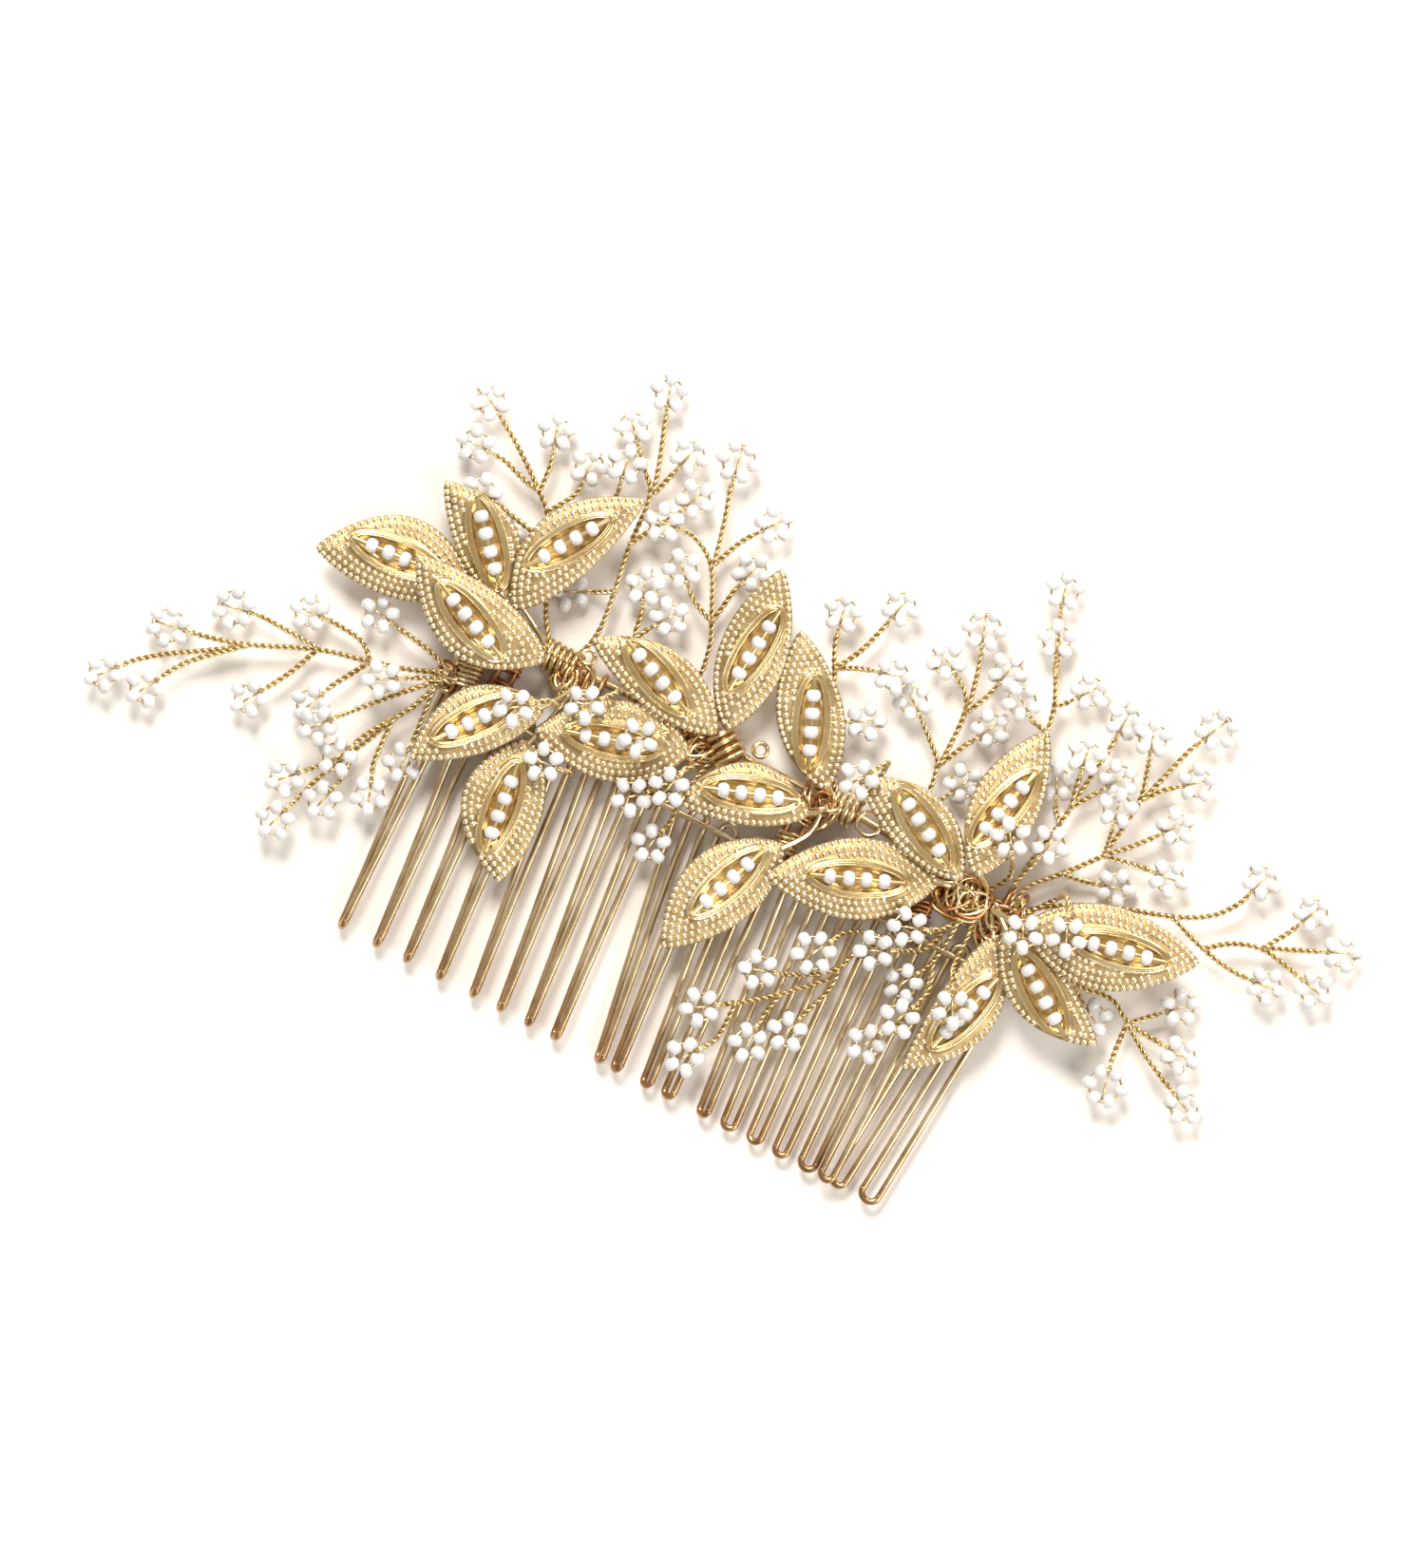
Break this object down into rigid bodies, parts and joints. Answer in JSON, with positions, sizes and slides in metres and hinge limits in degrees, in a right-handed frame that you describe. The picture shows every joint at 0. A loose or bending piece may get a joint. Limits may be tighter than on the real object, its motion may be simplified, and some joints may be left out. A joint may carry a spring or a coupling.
{
  "type": "decorative hair comb",
  "caption": "Decorative comb for a hair style: a row of wire teeth with a wired vine of stamped leaves and pearly bead flowers along its top.",
  "frame": {"origin": "middle of the bounding box seen from the front, at its lowest level, where the tie wires meet the surface that the comb lies on", "axes": "+X along the row of teeth towards the right end of the vine, -Y the way the teeth point, +Z out of the front, towards whoever looks at the leaves"},
  "size_m": [0.1607, 0.0833, 0.0106],
  "materials": {
    "tooth_wire": "polished",
    "leaf_gold": "polished, stamped",
    "gold_wire": "polished",
    "tie_wire": "polished, darker in the recesses",
    "pearl_beads": "pearl lustre"
  },
  "bodies": {
    "comb": {"comb_teeth": "tooth_wire", "spine_front": "gold_wire", "spine_back": "gold_wire", "backbone_wire": "gold_wire", "tie_wires": "tie_wire", "binding_left": "tie_wire", "binding_middle_left": "tie_wire", "binding_middle_right": "tie_wire", "binding_right": "tie_wire", "leaf_sprig_1": "leaf_gold", "leaf_sprig_2": "leaf_gold", "leaf_sprig_3": "leaf_gold", "leaf_sprig_4": "leaf_gold", "leaf_sprig_5": "leaf_gold", "leaf_sprig_6": "leaf_gold", "bead_wires_1": "gold_wire", "bead_wires_2": "gold_wire", "bead_wires_3": "gold_wire", "bead_wires_4": "gold_wire", "bead_wires_5": "gold_wire", "bead_wires_6": "gold_wire", "spray_far_left": "gold_wire", "spray_left_low": "gold_wire", "spray_left_top": "gold_wire", "spray_top_left": "gold_wire", "spray_top_mid": "gold_wire", "spray_top_right": "gold_wire", "spray_right_top": "gold_wire", "spray_far_right": "gold_wire", "spray_right_low": "gold_wire", "spray_left_front": "gold_wire", "flowers_far_left": "pearl_beads", "flowers_left_low": "pearl_beads", "flowers_left_top": "pearl_beads", "flowers_top_left": "pearl_beads", "flowers_top_mid": "pearl_beads", "flowers_top_right": "pearl_beads", "flowers_right_top": "pearl_beads", "flowers_far_right": "pearl_beads", "flowers_right_low": "pearl_beads", "flowers_left_front": "pearl_beads"},
    "beads_01": {"bead_row_01": "pearl_beads"},
    "beads_02": {"bead_row_02": "pearl_beads"},
    "beads_03": {"bead_row_03": "pearl_beads"},
    "beads_04": {"bead_row_04": "pearl_beads"},
    "beads_05": {"bead_row_05": "pearl_beads"},
    "beads_06": {"bead_row_06": "pearl_beads"},
    "beads_07": {"bead_row_07": "pearl_beads"},
    "beads_08": {"bead_row_08": "pearl_beads"},
    "beads_09": {"bead_row_09": "pearl_beads"},
    "beads_10": {"bead_row_10": "pearl_beads"},
    "beads_11": {"bead_row_11": "pearl_beads"},
    "beads_12": {"bead_row_12": "pearl_beads"},
    "beads_13": {"bead_row_13": "pearl_beads"},
    "beads_14": {"bead_row_14": "pearl_beads"},
    "beads_15": {"bead_row_15": "pearl_beads"},
    "beads_16": {"bead_row_16": "pearl_beads"},
    "beads_17": {"bead_row_17": "pearl_beads"},
    "beads_18": {"bead_row_18": "pearl_beads"}
  },
  "joints": [
    {"name": "beads_01_spin", "type": "hinge", "parent": "comb", "child": "beads_01", "pos_m": [-0.05152, 0.00366, 0.00555], "axis": [-0.9962, -0.0872, 0], "continuous": true},
    {"name": "beads_02_spin", "type": "hinge", "parent": "comb", "child": "beads_02", "pos_m": [-0.04207, 0.01049, 0.00599], "axis": [-0.668, 0.7424, 0.0512], "continuous": true},
    {"name": "beads_03_spin", "type": "hinge", "parent": "comb", "child": "beads_03", "pos_m": [-0.03305, 0.01516, 0.0073], "axis": [0.5437, 0.8365, 0.0687], "continuous": true},
    {"name": "beads_04_spin", "type": "hinge", "parent": "comb", "child": "beads_04", "pos_m": [-0.03936, 0.00072, 0.00833], "axis": [-0.9204, 0.3907, 0.0171], "continuous": true},
    {"name": "beads_05_spin", "type": "hinge", "parent": "comb", "child": "beads_05", "pos_m": [-0.03297, -0.01001, 0.00715], "axis": [-0.6014, -0.7982, 0.0348], "continuous": true},
    {"name": "beads_06_spin", "type": "hinge", "parent": "comb", "child": "beads_06", "pos_m": [-0.02507, -0.01838, 0.00571], "axis": [0.1218, -0.9924, 0.0172], "continuous": true},
    {"name": "beads_07_spin", "type": "hinge", "parent": "comb", "child": "beads_07", "pos_m": [-0.01652, -0.00439, 0.00607], "axis": [-0.96, -0.2752, 0.0522], "continuous": true},
    {"name": "beads_08_spin", "type": "hinge", "parent": "comb", "child": "beads_08", "pos_m": [-0.01531, 0.0054, 0.00712], "axis": [-0.9233, 0.3826, 0.034], "continuous": true},
    {"name": "beads_09_spin", "type": "hinge", "parent": "comb", "child": "beads_09", "pos_m": [-0.00598, 0.014, 0.00706], "axis": [0.0882, 0.989, 0.1187], "continuous": true},
    {"name": "beads_10_spin", "type": "hinge", "parent": "comb", "child": "beads_10", "pos_m": [0.00472, 0.00922, 0.0059], "axis": [-0.3987, 0.9169, 0.017], "continuous": true},
    {"name": "beads_11_spin", "type": "hinge", "parent": "comb", "child": "beads_11", "pos_m": [0.00203, -0.00229, 0.00698], "axis": [-0.9425, -0.3337, 0.0174], "continuous": true},
    {"name": "beads_12_spin", "type": "hinge", "parent": "comb", "child": "beads_12", "pos_m": [0.0046, -0.01359, 0.0057], "axis": [-0.3501, -0.9365, 0.0174], "continuous": true},
    {"name": "beads_13_spin", "type": "hinge", "parent": "comb", "child": "beads_13", "pos_m": [0.01898, -0.00554, 0.0061], "axis": [-0.926, -0.374, 0.0522], "continuous": true},
    {"name": "beads_14_spin", "type": "hinge", "parent": "comb", "child": "beads_14", "pos_m": [0.02334, 0.00413, 0.00704], "axis": [-0.874, 0.4846, 0.0341], "continuous": true},
    {"name": "beads_15_spin", "type": "hinge", "parent": "comb", "child": "beads_15", "pos_m": [0.03124, 0.01096, 0.00709], "axis": [0.242, 0.9679, -0.0674], "continuous": true},
    {"name": "beads_16_spin", "type": "hinge", "parent": "comb", "child": "beads_16", "pos_m": [0.05248, 0.00178, 0.00837], "axis": [0.9742, 0.2249, 0.0174], "continuous": true},
    {"name": "beads_17_spin", "type": "hinge", "parent": "comb", "child": "beads_17", "pos_m": [0.0463, -0.0077, 0.00691], "axis": [0.8289, -0.5591, 0.0172], "continuous": true},
    {"name": "beads_18_spin", "type": "hinge", "parent": "comb", "child": "beads_18", "pos_m": [0.03882, -0.0142, 0.00555], "axis": [-0.2756, -0.9613, 0], "continuous": true}
  ]
}
